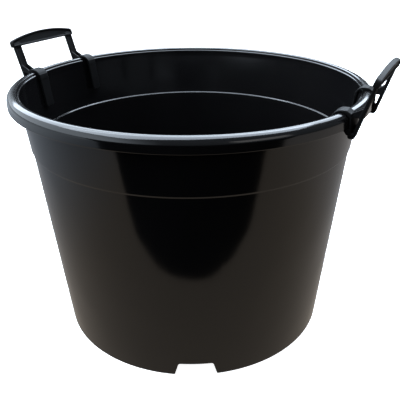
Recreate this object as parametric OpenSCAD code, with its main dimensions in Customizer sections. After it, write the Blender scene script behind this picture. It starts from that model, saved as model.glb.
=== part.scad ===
// Large round tub with a rolled rim and two one-piece carry handles that clip over the rim.
// Origin at the centre of the ground face, +Z up, the handles on the X axis. Millimetres.

/* [Tub] */
// Height from the ground to the top of the rim
tub_h = 400; // [360:1:440]
// Outer diameter of the rim
rim_d = 556; // [536:1:580]
// Outer diameter of the wall at the ground
foot_d = 446.5; // [430:0.5:456]
// Thickness of the wall, the rim and the floor
wall_t = 3.2; // [2.6:0.1:3.6]
// Outward lean of the wall below the step
wall_lean = 5.2; // [4.6:0.1:5.3]
// Outward lean of the wall above the step
high_lean = 6.2; // [5.6:0.1:6.4]
// Height of the step that runs round the wall
step_z = 314; // [250:1:340]
// How far the wall above the step stands outside the wall below it
step_w = 1.9; // [1.4:0.1:2.1]
// Height of the step itself
step_h = 2.6; // [2.4:0.2:8]
// Height of the underside of the floor above the ground
floor_z = 25; // [24:1:40]
// Radius between the floor and the inside of the wall
floor_r = 10; // [6:1:16]

/* [Rim] */
// Width of the rounded crown of the rim
crown_w = 21; // [20:0.5:22]
// Depth of the rim from its top to the lower edge of its skirt
rim_drop = 20.5; // [18:0.5:26]
// Thickness of the skirt
skirt_t = 3; // [2.4:0.1:3.2]
// Width of the small lip inside the crown
lip_w = 3.4; // [2.8:0.1:3.6]
// How far the lip lies below the top of the rim
lip_drop = 3.5; // [2.5:0.1:4.5]

/* [Foot notches] */
// Number of notches in the foot
notch_count = 4; // [2:1:6]
// Width of a notch at the ground
notch_w = 65; // [40:1:80]
// Width of a notch at its top
notch_top_w = 52; // [30:1:60]
// Height of a notch
notch_h = 23; // [12:1:24]
// Radius of the upper corners of a notch
notch_r = 4; // [2:0.5:8]
// Angle of the first notch from the X axis
notch_turn = 28.75; // [0:0.25:90]

/* [Handles] */
// Distance from the middle of a handle to the middle of each leg
leg_y = 64; // [50:0.5:66]
// Width of a clip where it hooks over the rim
clip_w = 19; // [12:0.5:20]
// Thickness of the clip over the crown
hook_t = 3.4; // [3:0.1:5]
// Thickness of the strap inside the tub
strap_t = 3; // [2.4:0.1:4]
// Width of the strap at its lower end
strap_low_w = 18; // [10:0.5:20]
// Height of the strap's lower end
strap_z = 344; // [335:1:360]
// Gap between the strap's outer edge and the wall
strap_gap = 2.4; // [1:0.1:3]
// Gap between the clip and the rim
clip_gap = 0.4; // [0.3:0.05:0.6]
// Thickness of the jaw outside the skirt
jaw_t = 2.6; // [2:0.1:3]
// How far the tooth below the jaw reaches in under the skirt
tooth_w = 6; // [4:0.5:7]
// Outward lean of the legs and the grip
leg_lean = 16.8; // [14:0.2:20]
// Width of a leg along the rim
leg_w = 15; // [10:0.5:16]
// Thickness of a leg through the handle
leg_t = 4.4; // [4:0.2:6]
// Depth of the recess in each face of a leg
leg_recess = 1.1; // [0.6:0.1:1.4]
// Thickness of the ribs between the hook and the leg
rib_t = 2.6; // [2:0.1:3.5]

/* [Grip] */
// Height of the grip's lower edge above the ground
grip_z = 436.5; // [430:0.5:450]
// Length of the grip
grip_len = 148; // [148:1:165]
// Height of the grip at its ends
grip_end_h = 10; // [8:0.5:14]
// Rise of the arched top edge at the middle
grip_arch = 8.5; // [5:0.5:14]
// Thickness of the grip through the handle
grip_t = 8; // [7:0.5:12]
// Depth of the recess in each face of the grip
grip_recess = 2.4; // [1:0.1:2.8]
// Radius of the grip's upper corners
grip_r = 5; // [3:0.5:7]
// Width of the flange left round each recess
flange_w = 2.4; // [1.8:0.1:3]

/* [Hidden] */
$fn = 96;
tub_colour = [0.11, 0.11, 0.12];
handle_colour = [0.07, 0.07, 0.075];

rim_r = rim_d / 2;
foot_r = foot_d / 2;
crown_r = crown_w / 2;
crown_x = rim_r - crown_r;
crown_z = tub_h - crown_r;
skirt_z = tub_h - rim_drop;
lip_z = tub_h - lip_drop;
step_top = step_z + step_h / 2;
step_low = step_z - step_h / 2;

// radius of the wall's outer face at height z, below and above the step
function low_wall(z) = foot_r + z * tan(wall_lean);
function high_wall(z) = low_wall(step_top) + step_w + (z - step_top) * tan(high_lean);
function arc(x, y, r, a0, a1, n = 10) =
    [for (i = [0:n]) let (a = a0 + (a1 - a0) * i / n) [x + r * cos(a), y + r * sin(a)]];

lip_x = high_wall(lip_z) - wall_t;
floor_top = floor_z + wall_t;
groove_a = 180 - acos((crown_x - lip_x - lip_w) / crown_r);
channel_r = crown_r - skirt_t;

// distance along X of a point at radius r that lies y to the side of the X axis
function across(r, y) = sqrt(r * r - y * y);
outer_y = leg_y + clip_w / 2;
hook_r = lip_x - 2 * clip_gap;
hook_top = tub_h + clip_gap + hook_t;
tooth_z = skirt_z - clip_gap;

// inner face of the strap at its lower end and beside the lip, and its lean between them
strap_low_x = across(high_wall(strap_z) - wall_t - strap_gap, outer_y) - strap_t;
strap_top_x = across(hook_r, outer_y) - strap_t;
hook_lap = 0.3; // how far the hook stands proud of the strap that it laps
strap_lean = atan((strap_top_x - strap_low_x) / (lip_z - strap_z));

// the leg leans about this point beside the jaw's lower end
knuckle_z = skirt_z - 9;
knuckle_x = across(rim_r, leg_y) + 4.6;
grip_s = (grip_z - knuckle_z) / cos(leg_lean);

// outline of the tub's wall, rim, floor and foot, from the axis round to the axis again
module tub_section() {
    polygon(concat(
        [[0, floor_z], [foot_r - wall_t, floor_z], [foot_r - wall_t, 0], [foot_r, 0],
         [low_wall(step_low), step_low], [high_wall(step_top), step_top],
         [high_wall(crown_z), crown_z]],
        arc(crown_x, crown_z, channel_r, 140, 0),
        arc(rim_r - skirt_t / 2, skirt_z + skirt_t / 2, skirt_t / 2, 180, 360),
        arc(crown_x, crown_z, crown_r, 0, groove_a, 16),
        arc(lip_x + lip_w / 2, lip_z - lip_w / 2, lip_w / 2, 0, 180, 8),
        [[high_wall(step_top) - wall_t, step_top], [low_wall(step_low) - wall_t, step_low]],
        arc(low_wall(floor_top) - wall_t - floor_r, floor_top + floor_r, floor_r, 0, -90),
        [[0, floor_top]]));
}

module notch() {
    inset = (notch_w - notch_top_w) / 2;
    rotate([90, 0, 90])
        translate([0, 0, foot_r - 4 * wall_t])
            linear_extrude(8 * wall_t)
                polygon(concat(
                    [[-notch_w / 2, -1], [notch_w / 2, -1]],
                    arc(notch_top_w / 2 - notch_r, notch_h - notch_r, notch_r, 20, 90, 5),
                    arc(notch_r - notch_top_w / 2, notch_h - notch_r, notch_r, 90, 160, 5)));
}

module tub() {
    color(tub_colour)
        difference() {
            rotate_extrude($fn = 180) tub_section();
            for (i = [0:notch_count - 1])
                rotate([0, 0, notch_turn + i * 360 / notch_count]) notch();
        }
}

// places a shape that is drawn x along the rim and y up at (x, z), leaning outwards
module leaning(x, z, lean) {
    translate([x, 0, z]) rotate([90 + lean, 0, 90]) children();
}

// extrudes a section that is drawn x outwards and y up to a width along the rim
module along_rim(width) {
    rotate([90, 0, 0]) linear_extrude(width, center = true) children();
}

// the rim with the clip's gap round it, and the clear space below its skirt's edge left out
module rim_outline() {
    gap_r = crown_r + clip_gap;
    polygon(concat(
        [[hook_r, tooth_z], [rim_r + clip_gap, tooth_z]],
        arc(crown_x, crown_z, gap_r, 0, groove_a - 6),
        [[hook_r + 0.8, lip_z + clip_gap], [hook_r, lip_z - 3]]));
}

// flat strap that hangs inside the tub beside the wall
module strap() {
    length = (lip_z - strap_z) / cos(strap_lean);
    corner = 2.5;
    top_y = clip_w / 2 - hook_lap;
    leaning(strap_low_x, strap_z, strap_lean)
        linear_extrude(strap_t)
            polygon(concat(
                arc(corner - strap_low_w / 2, corner, corner, 180, 270, 5),
                arc(strap_low_w / 2 - corner, corner, corner, 270, 360, 5),
                [[top_y, length], [-top_y, length]]));
}

// hook that runs on from the strap and arches over the crown, with a floor and two ribs out to the leg
module hook() {
    arch_r = 14;
    arch_z = hook_top - arch_r;
    inner_x = strap_top_x - hook_lap;
    arch_x = inner_x + (arch_z - lip_z) * tan(strap_lean) + arch_r / cos(strap_lean);
    low_z = lip_z - 8;
    low_x = inner_x - 8 * tan(strap_lean);
    shoulder_x = across(rim_r, leg_y);
    web_low = tub_h - 5;
    web_top = tub_h + 9;
    leg_x = knuckle_x - leg_t / 2;
    along_rim(clip_w)
        polygon(concat(
            [[low_x + strap_t / 2, low_z], [low_x, low_z]],
            arc(arch_x, arch_z, arch_r, 180 - strap_lean, 90, 12),
            [[shoulder_x - 7, hook_top], [shoulder_x, hook_top - 4], [shoulder_x, web_low]]));
    low_x_at_leg = leg_x + (web_low - knuckle_z) * tan(leg_lean) + 1;
    along_rim(leg_w - 2)
        polygon([[shoulder_x - 8, web_low], [shoulder_x - 8, web_low + rib_t],
                 [low_x_at_leg + 1, web_low + rib_t], [low_x_at_leg, web_low]]);
    for (side = [-1, 1])
        translate([0, side * (leg_w - rib_t - 1) / 2, 0])
            along_rim(rib_t)
                polygon([[shoulder_x - 8, web_low + 0.5], [shoulder_x - 8, hook_top - 5],
                         [shoulder_x - 2, hook_top - 3.8],
                         [leg_x + (web_top - knuckle_z) * tan(leg_lean) + 1, web_top],
                         [low_x_at_leg, web_low + 0.5]]);
}

// jaw that follows the outside of the skirt, with a tooth turned in under its edge
module jaw() {
    jaw_r = rim_r + clip_gap + jaw_t;
    low_z = knuckle_z + 1;
    intersection() {
        rotate_extrude($fn = 180)
            polygon([[rim_r - tooth_w, tooth_z], [rim_r - tooth_w, tooth_z - 2], [rim_r - 2, low_z],
                     [jaw_r, low_z], [jaw_r, crown_z + 6], [rim_r - 4, crown_z + 6],
                     [rim_r - 4, tooth_z]]);
        translate([rim_r - 35, leg_y - clip_w / 2, low_z - 1]) cube([40, clip_w, 40]);
    }
}

// flat leg with a shallow recess in each face, from the knuckle up to the grip
module leg() {
    leaning(knuckle_x, knuckle_z, leg_lean)
        difference() {
            translate([-leg_w / 2, 0, -leg_t / 2])
                cube([leg_w, grip_s + grip_end_h / 2, leg_t]);
            for (side = [0, 1])
                mirror([0, 0, side])
                    translate([flange_w - leg_w / 2, 12, leg_t / 2 - leg_recess])
                        cube([leg_w - 2 * flange_w, grip_s - 12 - flange_w, leg_t]);
        }
    knuckle_low = across(rim_r, leg_y) - 2;
    along_rim(leg_w + 1)
        polygon(concat(
            arc(knuckle_low + 2, knuckle_z - 1, 3, 180, 270, 5),
            arc(knuckle_x - 0.8, knuckle_z - 1, 3, 270, 360, 5),
            [[knuckle_x + 1.8, knuckle_z + 2], [knuckle_low - 1, knuckle_z + 6]]));
}

// outline of the grip, drawn in from its edge by d
module grip_outline(d) {
    half = grip_len / 2 - d;
    r = max(grip_r - d, 1);
    arch_r = (half * half + grip_arch * grip_arch) / (2 * grip_arch);
    end_a = asin((half - r) / arch_r);
    top = grip_end_h + grip_arch - d;
    polygon(concat(
        [[-half, d], [half, d]],
        arc(half - r, top - grip_arch - r + 1, r, 0, 90 - end_a, 4),
        arc(0, top - arch_r, arch_r, 90 - end_a, 90 + end_a, 20),
        arc(r - half, top - grip_arch - r + 1, r, 90 + end_a, 180, 4)));
}

// arched grip with a recess in each face inside a flange
module grip() {
    leaning(knuckle_x, knuckle_z, leg_lean)
        translate([0, grip_s, 0])
            difference() {
                linear_extrude(grip_t, center = true) grip_outline(0);
                for (side = [0, 1])
                    mirror([0, 0, side])
                        translate([0, 0, grip_t / 2 - grip_recess])
                            linear_extrude(grip_t) grip_outline(flange_w);
            }
}

module handle() {
    color(handle_colour)
        difference() {
            union() {
                grip();
                for (side = [0, 1])
                    mirror([0, side, 0]) {
                        jaw();
                        translate([0, leg_y, 0]) {
                            strap();
                            hook();
                            leg();
                        }
                    }
            }
            rotate_extrude($fn = 180) rim_outline();
            for (side = [-1, 1])
                translate([across(crown_x, outer_y + 1) - crown_x, side * leg_y, 0])
                    along_rim(clip_w + 1) intersection() {
                        rim_outline();
                        translate([0, tooth_z]) square([crown_x, crown_r * 3]);
                    }
        }
}

module handle_right() { handle(); }
module handle_left() { rotate([0, 0, 180]) handle(); }

tub();
handle_right();
handle_left();
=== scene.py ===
import math

import bmesh
import bpy
import numpy as np
from mathutils import Matrix, Vector


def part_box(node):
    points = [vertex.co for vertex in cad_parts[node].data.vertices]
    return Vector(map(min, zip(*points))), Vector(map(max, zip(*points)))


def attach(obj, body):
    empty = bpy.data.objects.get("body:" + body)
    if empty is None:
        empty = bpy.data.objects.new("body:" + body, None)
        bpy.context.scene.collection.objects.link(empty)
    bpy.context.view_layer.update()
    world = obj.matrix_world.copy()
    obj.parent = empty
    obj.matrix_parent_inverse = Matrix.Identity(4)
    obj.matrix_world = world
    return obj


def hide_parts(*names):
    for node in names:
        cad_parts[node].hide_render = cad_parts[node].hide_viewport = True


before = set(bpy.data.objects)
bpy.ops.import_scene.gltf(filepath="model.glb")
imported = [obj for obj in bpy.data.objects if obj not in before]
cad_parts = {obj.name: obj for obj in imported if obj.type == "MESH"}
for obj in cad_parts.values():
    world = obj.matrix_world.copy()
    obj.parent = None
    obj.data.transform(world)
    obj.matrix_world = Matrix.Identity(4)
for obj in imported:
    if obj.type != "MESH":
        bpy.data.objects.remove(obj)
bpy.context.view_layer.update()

# ---------------------------------------------------------------------------
# The tub: one injection moulding in black polypropylene, thin-walled and tapered, with a
# step round it, a rolled rim whose skirt turns down outside, and a foot ring with notches.
# ---------------------------------------------------------------------------
tub_low, tub_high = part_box("tub")
RIM_R = tub_high.x
TUB_H = tub_high.z
FOOT_R = 0.22325                                # metres, as all lengths here
WALL = 0.0032
LOW_LEAN, HIGH_LEAN = math.radians(5.2), math.radians(6.2)
STEP_LOW, STEP_TOP, STEP_OUT = 0.3127, 0.3153, 0.0019
LEDGE_LOW, LEDGE_TOP = 0.3136, 0.3149           # the step on the inside
FLOOR_Z = 0.025
CROWN_R, RIM_DROP, SKIRT_T = 0.0105, 0.0205, 0.003
LIP_W, LIP_DROP = 0.0034, 0.0035
FOOT_EDGE_R, FLOOR_BEND_R = 0.0009, 0.003       # rounding of the foot's edge and above it
FLOOR_R, FLOOR_EDGE_R = 0.010, 0.0018           # between floor and wall, above and below
STEP_RADII, LEDGE_RADII = (0.0008, 0.0010), (0.0005, 0.0004)
NOTCHES, NOTCH_TURN = 4, math.radians(28.75)
NOTCH_HALF, NOTCH_TOP_HALF, NOTCH_H, NOTCH_R = 0.0325, 0.026, 0.023, 0.004
NOTCH_FOOT_R = 0.0015                           # rounding where a notch meets the ground
COLUMNS, NOTCH_COLUMNS = 240, 22                # round the tub, and along each notch's side


def rounded(points, radii, steps=6):
    """Open line of corners with each inner corner turned into an arc. With a and b the unit
    vectors from the corner to its neighbours and w half the angle between them, the arc's
    centre lies r / sin w along a + b, and it runs between the points r / tan w along a and b."""
    p = np.asarray(points, float)
    a, b = p[:-2] - p[1:-1], p[2:] - p[1:-1]
    a /= np.linalg.norm(a, axis=1, keepdims=True)
    b /= np.linalg.norm(b, axis=1, keepdims=True)
    r = np.broadcast_to(np.asarray(radii, float), (len(a),))[:, None]
    w = np.arccos(np.clip((a * b).sum(1, keepdims=True), -0.99999, 0.99999)) / 2
    m = (a + b) / np.linalg.norm(a + b, axis=1, keepdims=True)
    centre = p[1:-1] + m * r / np.sin(w)
    t = np.linspace(0, 1, steps)[None, :, None]
    start, end = p[1:-1] + a * r / np.tan(w) - centre, p[1:-1] + b * r / np.tan(w) - centre
    turn = (math.pi - 2 * w)[:, :, None]
    arcs = (np.sin((1 - t) * turn) * start[:, None]
            + np.sin(t * turn) * end[:, None]) / np.sin(turn)
    return np.vstack([p[:1], (arcs + centre[:, None]).reshape(-1, 2), p[-1:]])


def arc(x, y, r, a0, a1, n):
    """Points on a circle of radius r about (x, y), from a0 to a1 degrees."""
    a = np.radians(np.linspace(a0, a1, n))
    return np.stack([x + r * np.cos(a), y + r * np.sin(a)], 1)


def mesh_object(name, vertices, faces, merge=2e-6):
    """Mesh piece from a vertex array and rows of quads, with equal vertices merged, which
    closes seams and poles, and its normals turned outwards."""
    me = bpy.data.meshes.new(name)
    me.from_pydata(vertices.reshape(-1, 3).tolist(), [], faces.tolist())
    me.update()
    ob = bpy.data.objects.new(name, me)
    bpy.context.scene.collection.objects.link(ob)
    bm = bmesh.new()
    bm.from_mesh(me)
    bmesh.ops.remove_doubles(bm, verts=bm.verts, dist=merge)
    bmesh.ops.dissolve_degenerate(bm, edges=bm.edges, dist=merge)
    bmesh.ops.recalc_face_normals(bm, faces=bm.faces)
    bm.to_mesh(me)
    bm.free()
    me.shade_smooth()
    weigh = ob.modifiers.new("even shading", "WEIGHTED_NORMAL")
    weigh.keep_sharp = True
    weigh.weight = 60
    return ob


def grid_faces(rows, columns, close_rows=False, close_columns=False):
    """Quads of a grid of rows by columns, joined round on either side if asked."""
    i = np.arange(rows if close_rows else rows - 1)[:, None]
    j = np.arange(columns if close_columns else columns - 1)[None, :]
    k, m = (i + 1) % rows, (j + 1) % columns
    return np.stack(np.broadcast_arrays(i * columns + j, k * columns + j,
                                        k * columns + m, i * columns + m), -1).reshape(-1, 4)


def tub_section():
    """Half section of the tub as (radius, height): the floor's underside, the foot, the outer
    wall, the channel under the rim, the skirt, the crown, the lip, the inner wall, the floor."""
    low = lambda z: FOOT_R + z * math.tan(LOW_LEAN)
    high = lambda z: low(STEP_TOP) + STEP_OUT + (z - STEP_TOP) * math.tan(HIGH_LEAN)
    crown_x, crown_z = RIM_R - CROWN_R, TUB_H - CROWN_R
    skirt_z, lip_z = TUB_H - RIM_DROP, TUB_H - LIP_DROP
    lip_x = high(lip_z) - WALL
    foot_inner, floor_top = FOOT_R - WALL, FLOOR_Z + WALL
    wall_top, wall_high = crown_z - 0.004, lip_z - 0.012    # where the wall meets rim and lip
    outer = rounded([(foot_inner, FLOOR_Z - 0.004), (foot_inner, 0), (FOOT_R, 0),
                     (low(FLOOR_Z), FLOOR_Z), (low(STEP_LOW), STEP_LOW),
                     (high(STEP_TOP), STEP_TOP), (high(wall_top), wall_top)],
                    [FOOT_EDGE_R, FOOT_EDGE_R, FLOOR_BEND_R, *STEP_RADII])
    inner = rounded([(lip_x, wall_high), (high(LEDGE_TOP) - WALL, LEDGE_TOP),
                     (low(LEDGE_LOW) - WALL, LEDGE_LOW), (low(FLOOR_Z) - WALL, floor_top),
                     (0, floor_top)], [*LEDGE_RADII, FLOOR_R], 8)
    under = rounded([(FOOT_R - 0.012, FLOOR_Z), (foot_inner, FLOOR_Z),
                     (foot_inner, FLOOR_Z - 0.003)], FLOOR_EDGE_R)
    groove = 180 - math.degrees(math.acos((crown_x - lip_x - LIP_W) / CROWN_R))
    return np.vstack([
        [(0, FLOOR_Z), (0.10, FLOOR_Z), (0.19, FLOOR_Z)],
        under,
        outer,
        arc(crown_x, crown_z, CROWN_R - SKIRT_T, 140, 0, 14),
        arc(RIM_R - SKIRT_T / 2, skirt_z + SKIRT_T / 2, SKIRT_T / 2, 180, 360, 10),
        arc(crown_x, crown_z, CROWN_R, 0, groove, 26),
        arc(lip_x + LIP_W / 2, lip_z - LIP_W / 2, LIP_W / 2, 0, 180, 10),
        inner])


def notch_edge(x):
    """Height of the foot's lower edge at a distance x along it from a notch's middle: zero
    outside, and inside a trapezoid with rounded upper corners."""
    line = rounded([(-0.05, 0), (-NOTCH_HALF, 0), (-NOTCH_TOP_HALF, NOTCH_H),
                    (NOTCH_TOP_HALF, NOTCH_H), (NOTCH_HALF, 0), (0.05, 0)],
                   [NOTCH_FOOT_R, NOTCH_R, NOTCH_R, NOTCH_FOOT_R], 8)
    return np.interp(x, line[:, 0], line[:, 1])


def make_tub():
    """The section turned about the axis. Columns stand closer at the notches' sides. On the
    foot ring a point at height z moves up to z + e below 1 mm and evenly less up to the floor,
    with e the notch edge's height there, and the outer face moves out with the wall's lean."""
    full, pitch = 2 * math.pi, 2 * math.pi / NOTCHES
    sides = np.linspace(NOTCH_TOP_HALF - NOTCH_R, NOTCH_HALF + 0.001, NOTCH_COLUMNS) / FOOT_R
    both = np.concatenate([-sides, sides])[None]
    near = (NOTCH_TURN + np.arange(NOTCHES)[:, None] * pitch + both).ravel()
    even = np.linspace(0, full, COLUMNS + 1)[:-1]
    turn = np.unique(np.round(np.concatenate([even, near % full]), 6))
    section = tub_section()
    r, z = [np.broadcast_to(c, (len(turn), len(section))).copy() for c in section.T]
    along = ((turn - NOTCH_TURN + pitch / 2) % pitch - pitch / 2) * FOOT_R
    edge = notch_edge(along)[:, None]
    first, top = 0.001, FLOOR_Z - 0.0004
    ring = (z < top) & (r > FOOT_R - WALL - 0.0002)
    lift = np.where(z < first, edge, edge * (top - z) / (top - first)) * ring
    outside = r > FOOT_R - 0.0012
    r += np.where(outside, lift * math.tan(LOW_LEAN), 0)
    z += lift
    c, s = np.cos(turn)[:, None], np.sin(turn)[:, None]
    return mesh_object("tub_moulding", np.stack([r * c, r * s, z], -1),
                       grid_faces(len(turn), len(section), close_rows=True))


class Socket:
    """A node's output, with Python's operators adding Math nodes."""

    def __init__(self, tree, out):
        self.tree, self.out = tree, out

    def _maths(self, operation, *values):
        return node(self.tree, "ShaderNodeMath", {"operation": operation}, dict(enumerate(values)))

    def __add__(self, other):
        return self._maths("ADD", self, other)

    def __sub__(self, other):
        return self._maths("SUBTRACT", self, other)

    def __rsub__(self, other):
        return self._maths("SUBTRACT", other, self)

    def __mul__(self, other):
        return self._maths("MULTIPLY", self, other)

    __radd__, __rmul__ = __add__, __mul__


def node(tree, kind, settings=None, values=None, output=0):
    """One shader node: its settings first, then its sockets' values or links. A ramp's stops
    are given as the setting "stops", a list of (place, value) pairs."""
    n = tree.nodes.new(kind)
    for key, value in (settings or {}).items():
        if key == "stops":
            ramp = n.color_ramp
            while len(ramp.elements) < len(value):
                ramp.elements.new(0.5)
            for element, (place, grey) in zip(ramp.elements, value):
                element.position, element.color = place, (grey, grey, grey, 1)
        else:
            setattr(n, key, value)
    for key, value in (values or {}).items():
        if isinstance(value, Socket):
            tree.links.new(value.out, n.inputs[key])
        else:
            n.inputs[key].default_value = value
    return Socket(tree, n.outputs[output]) if n.outputs else None


def moulded_plastic(name, colour, dust, gloss, swirl, ripple, grain, specular=0.5):
    """Black moulded plastic. Colour runs a little towards dust where a wide noise is high and in
    fine specks, the roughness is gloss plus swirl times two noises, and two bumps give the
    moulding's slow ripple and its fine grain, with their depths in metres."""
    mat = bpy.data.materials.new(name)
    mat.use_nodes = True
    tree = mat.node_tree
    tree.nodes.clear()
    place = node(tree, "ShaderNodeTexCoord", output=3)
    flow = node(tree, "ShaderNodeMapping", {}, {"Vector": place, "Scale": (1, 1, 0.35)})
    noise = lambda vector, scale, detail, rough=0.5: node(
        tree, "ShaderNodeTexNoise", {},
        {"Vector": vector, "Scale": scale, "Detail": detail, "Roughness": rough})
    wide, streak, fine = noise(flow, 7, 3), noise(flow, 34, 4, 0.6), noise(place, 900, 2)
    slow = noise(place, 9, 1)
    specks = node(tree, "ShaderNodeValToRGB", {"stops": [(0.60, 0), (0.78, 1)]},
                  {"Fac": noise(place, 260, 3, 0.7)})
    haze = node(tree, "ShaderNodeValToRGB", {"stops": [(0.35, 0), (0.75, 1)]}, {"Fac": wide})
    tint = node(tree, "ShaderNodeMix", {"data_type": "RGBA"},
                {0: haze * 0.45 + specks * 0.25, "A": (*colour, 1), "B": (*dust, 1)}, output=2)
    rough = gloss + (wide - 0.5) * swirl + (streak - 0.5) * (swirl * 0.8) + specks * 0.05
    ripples = node(tree, "ShaderNodeBump", {},
                   {"Strength": 1.0, "Distance": ripple, "Height": slow})
    skin = node(tree, "ShaderNodeBump", {},
                {"Strength": 0.5, "Distance": grain, "Height": fine + specks * 0.15,
                 "Normal": ripples})
    shader = node(tree, "ShaderNodeBsdfPrincipled", {},
                  {"Base Color": tint, "Roughness": rough, "Normal": skin, "IOR": 1.49,
                   "Specular IOR Level": specular})
    node(tree, "ShaderNodeOutputMaterial", {}, {"Surface": shader})
    return mat


tub = make_tub()
tub.data.materials.append(moulded_plastic(
    "black_polypropylene", colour=(0.0032, 0.0031, 0.0034), dust=(0.0066, 0.0062, 0.0062),
    gloss=0.115, swirl=0.05, ripple=0.0016, grain=0.00001))
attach(tub, "tub")
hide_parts("tub")

# ---------------------------------------------------------------------------
# The carry handles: each one injection moulding in black nylon, with two legs that end in clips
# over the rim, a strap from each clip inside the tub, and an arched grip recessed on both faces.
# The mould leaves every edge a little rounded and the faces satin, less glossy than the tub.
# ---------------------------------------------------------------------------
GRID = 0.0006           # side of the even grid's squares, metres
handle_plastic = moulded_plastic(
    "black_handle_plastic", colour=(0.0042, 0.0042, 0.0044), dust=(0.0080, 0.0080, 0.0084),
    gloss=0.46, swirl=0.10, ripple=0.0004, grain=0.00001, specular=0.08)


def soft_edged(name, source):
    """Copy of a sub-part's own mesh, merged, remeshed on a fine even grid and smoothed a
    little, which rounds its edges to about half a millimetre."""
    me = source.data.copy()
    me.name = name
    me.transform(source.matrix_world)
    me.materials.clear()
    bm = bmesh.new()
    bm.from_mesh(me)
    bmesh.ops.remove_doubles(bm, verts=bm.verts, dist=1e-6)
    bmesh.ops.recalc_face_normals(bm, faces=bm.faces)
    bm.to_mesh(me)
    bm.free()
    ob = bpy.data.objects.new(name, me)
    bpy.context.scene.collection.objects.link(ob)
    even = ob.modifiers.new("even grid", "REMESH")
    even.mode, even.voxel_size, even.use_smooth_shade = "VOXEL", GRID, True
    soften = ob.modifiers.new("soft edges", "SMOOTH")
    soften.factor, soften.iterations = 0.5, 4
    return ob


for side in ("right", "left"):
    handle = soft_edged("handle_moulding_" + side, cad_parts["handle_" + side])
    handle.data.materials.append(handle_plastic)
    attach(handle, "handle_" + side)
    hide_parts("handle_" + side)

# ---------------------------------------------------------------------------
# The studio: a plain pale floor that runs into a white surround, soft lights above and behind,
# and a dim room that is brighter on the left. Black gloss shows mostly what it mirrors, so a
# card that only reflections see stands in for a table that ends just in front of the tub.
# ---------------------------------------------------------------------------
CAMERA_TURN = math.radians(-61.3)       # direction from the tub to the camera, from +X
FLOOR_REACH, TABLE_REACH, WALL_REACH = 12, 14.0, 11.0
COOL, WARM = (0.76, 0.87, 1.0), (1.0, 0.98, 0.96)
toward = np.array([math.cos(CAMERA_TURN), math.sin(CAMERA_TURN)])
across = np.array([-toward[1], toward[0]])


def glow(name, colour, strength):
    """A plain surface that shines evenly."""
    mat = bpy.data.materials.new(name)
    mat.use_nodes = True
    tree = mat.node_tree
    tree.nodes.clear()
    light = node(tree, "ShaderNodeEmission", {}, {"Color": (*colour, 1), "Strength": strength})
    node(tree, "ShaderNodeOutputMaterial", {}, {"Surface": light})
    return mat


def stage_mesh(name, points, faces, material):
    """A mesh that belongs to the studio, not to the tub."""
    me = bpy.data.meshes.new(name)
    me.from_pydata(points.reshape(-1, 3).tolist(), [], faces)
    me.materials.append(material)
    ob = bpy.data.objects.new(name, me)
    bpy.context.scene.collection.objects.link(ob)
    return ob


def smooth(tree, value, start, stop):
    """Nought up to start and one past stop, with an S between them."""
    return node(tree, "ShaderNodeMapRange", {"interpolation_type": "SMOOTHSTEP"},
                {0: value, 1: start, 2: stop})


floor_paint = bpy.data.materials.new("pale_floor")
floor_paint.use_nodes = True
floor_paint.node_tree.nodes.clear()
floor_shader = node(floor_paint.node_tree, "ShaderNodeBsdfPrincipled", {}, {
    "Base Color": (0.9, 0.9, 0.9, 1), "Roughness": 0.9,
    "Emission Color": (1, 1, 1, 1), "Emission Strength": 0.95})
node(floor_paint.node_tree, "ShaderNodeOutputMaterial", {}, {"Surface": floor_shader})
corners = np.array([[toward * ahead + across * side for ahead, side in
                     ((1, 1), (-1, 1), (-1, -1), (1, -1))]]) * FLOOR_REACH
floor = stage_mesh("floor", np.concatenate([corners, np.zeros((1, 4, 1))], -1), [(0, 1, 2, 3)],
                   floor_paint)
floor.visible_glossy = floor.visible_diffuse = False


def table_top():
    """Glow of the table: warm near the camera, cooler away from it and to the left."""
    mat = glow("table_top", (1, 1, 1), 1.0)
    tree = mat.node_tree
    place = node(tree, "ShaderNodeTexCoord", output=3)
    turned = node(tree, "ShaderNodeMapping", {"vector_type": "TEXTURE"},
                  {"Vector": place, "Rotation": (0, 0, CAMERA_TURN + math.pi / 2)})
    side, depth = (node(tree, "ShaderNodeSeparateXYZ", {}, {0: turned}, output=k) for k in (0, 1))
    mix = lambda factor, a, b: node(tree, "ShaderNodeMix", {"data_type": "RGBA"},
                                    {0: factor, "A": a, "B": b}, output=2)
    base = mix(smooth(tree, depth, -0.30, 0.35), (0.40, 0.345, 0.285, 1), (0.36, 0.355, 0.36, 1))
    cooler = mix(smooth(tree, side, -0.35, -1.0), base, (0.38, 0.43, 0.50, 1))
    far_left = mix(smooth(tree, side, -0.95, -1.5), cooler, (0.80, 0.92, 1.05, 1))
    shine = mix(smooth(tree, side, 0.45, 1.2), far_left, (0.50, 0.475, 0.46, 1))
    light = [n for n in tree.nodes if n.type == "EMISSION"][0]
    tree.links.new(shine.out, light.inputs["Color"])
    return mat


def reflected_table():
    """The table as the tub mirrors it. With d the distance across from where its front edge is
    nearest, the edge lies nearest + bend x d to the power towards the camera as far as curved,
    and goes on straight from there. Past the edge the room is dark."""
    middle, nearest, bend, power, curved, slope = -0.02, 0.424, 0.77, 2.25, 0.54, 0.505
    offset = np.concatenate([[-TABLE_REACH], np.linspace(-curved, curved, 49), [TABLE_REACH]])
    d = np.abs(offset)
    front = nearest + bend * np.minimum(d, curved) ** power + slope * np.maximum(d - curved, 0)
    rows = np.stack([front, np.full(len(d), -TABLE_REACH)])[..., None]
    pts = (middle + offset)[:, None] * across + rows * toward
    pts = np.concatenate([pts, np.full(pts.shape[:2] + (1,), -0.002)], -1)
    ob = stage_mesh("table_glow", pts, grid_faces(2, len(d)).tolist(), table_top())
    ob.visible_camera = ob.visible_diffuse = ob.visible_shadow = False


reflected_table()


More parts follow.
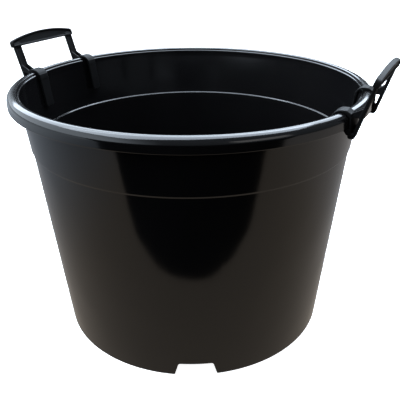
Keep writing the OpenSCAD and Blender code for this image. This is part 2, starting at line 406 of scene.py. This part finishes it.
def sky():
    """Soft light of the room: a dim cool grey above the horizon, brighter on the left, and
    nothing below it."""
    world = bpy.data.worlds.new("studio")
    world.use_nodes = True
    tree = world.node_tree
    look = node(tree, "ShaderNodeTexCoord")
    up = node(tree, "ShaderNodeSeparateXYZ", {}, {0: look}, output=2)
    leftward = node(tree, "ShaderNodeVectorMath", {"operation": "DOT_PRODUCT"},
                    {0: look, 1: (-across[0], -across[1], 0)}, output=1)
    left, rise = smooth(tree, leftward, 0.25, 0.85), smooth(tree, up, -0.02, 0.08)
    back = tree.nodes["Background"]
    back.inputs["Color"].default_value = (0.78, 0.89, 1.0, 1)
    tree.links.new((rise * (0.2 + left * 2.5)).out, back.inputs["Strength"])
    bpy.context.scene.world = world


sky()


def surround():
    """White wall that only the camera sees: rings of (radius, height), closed by a low dome."""
    sides = 48
    turn = np.linspace(0, 2 * math.pi, sides + 1)[:-1]
    rings = np.array([(WALL_REACH, -0.01), (WALL_REACH, 4.0), (9.0, 8.0), (5.0, 10.5),
                      (0.01, 11.0)])
    r, z = rings[:, :1], rings[:, 1:]
    pts = np.stack([r * np.cos(turn), r * np.sin(turn), np.repeat(z, sides, 1)], -1)
    faces = grid_faces(len(rings), sides, close_columns=True).tolist()
    ob = stage_mesh("surround", pts, faces, glow("white_wall", (1, 1, 1), 1.0))
    ob.visible_diffuse = ob.visible_glossy = ob.visible_shadow = ob.visible_transmission = False


surround()


def softbox(name, ahead, side, height, width, tall, radiance, colour, aim=(0, 0, 0.3)):
    """Area light ahead of the tub along the line to the camera and to its side, turned to the
    aim point, with its power worked out from the radiance: power = radiance x area x pi."""
    data = bpy.data.lights.new(name, "AREA")
    data.shape = "RECTANGLE"
    data.size, data.size_y = width, tall
    data.energy = radiance * width * tall * math.pi
    data.color = colour
    ob = bpy.data.objects.new(name, data)
    place = Vector((*(toward * ahead + across * side), height))
    ob.location = place
    ob.rotation_euler = (Vector(aim) - place).to_track_quat("-Z", "Y").to_euler()
    bpy.context.scene.collection.objects.link(ob)
    ob.visible_camera = False


softbox("back_window", ahead=-1.15, side=-0.1, height=1.45, width=3.2, tall=1.3, radiance=6.4,
        colour=COOL)
softbox("overhead", ahead=-0.25, side=-0.1, height=2.1, width=3.0, tall=1.7, radiance=8.3,
        colour=COOL)
softbox("front_right", ahead=1.9, side=1.6, height=1.35, width=1.5, tall=0.9, radiance=1.2,
        colour=WARM)

# ---------------------------------------------------------------------------
# The camera: close to the tub and about 25 degrees up, so that the rim opens towards it. It is
# turned a little off the tub's middle, and its shift only frames the picture.
# ---------------------------------------------------------------------------


def place_camera():
    """Camera aimed at the tub's middle, then turned by degrees about its own up, right and
    forward axes. Its distance is counted in rim radii."""
    rise, reach, up_turn, right_turn, roll = 25.3016, 3.4156, -1.8161, -0.7103, 0.8518
    aim_z = 0.2
    spin = lambda angle, axis: Matrix.Rotation(math.radians(angle), 3, axis)
    e = math.radians(rise)
    flat = Vector((*toward, 0))
    distance = reach * RIM_R
    place = flat * (distance * math.cos(e)) + Vector((0, 0, aim_z + distance * math.sin(e)))
    forward = -flat * math.cos(e) - Vector((0, 0, math.sin(e)))
    right = Vector((*across, 0))
    up = right.cross(forward)
    turn = spin(up_turn, up)
    forward, right = turn @ forward, turn @ right
    turn = spin(right_turn, right)
    forward, up = turn @ forward, turn @ up
    turn = spin(roll, forward)
    right, up = turn @ right, turn @ up
    data = bpy.data.cameras.new("camera")
    data.sensor_width, data.lens = 36, 49.279
    data.shift_x, data.shift_y = -0.02668, 0.00158
    ob = bpy.data.objects.new("camera", data)
    pose = Matrix((right, up, -forward)).transposed().to_4x4()
    pose.translation = place
    ob.matrix_world = pose
    bpy.context.scene.collection.objects.link(ob)
    bpy.context.scene.camera = ob


place_camera()
bpy.context.scene.view_settings.view_transform = "Standard"
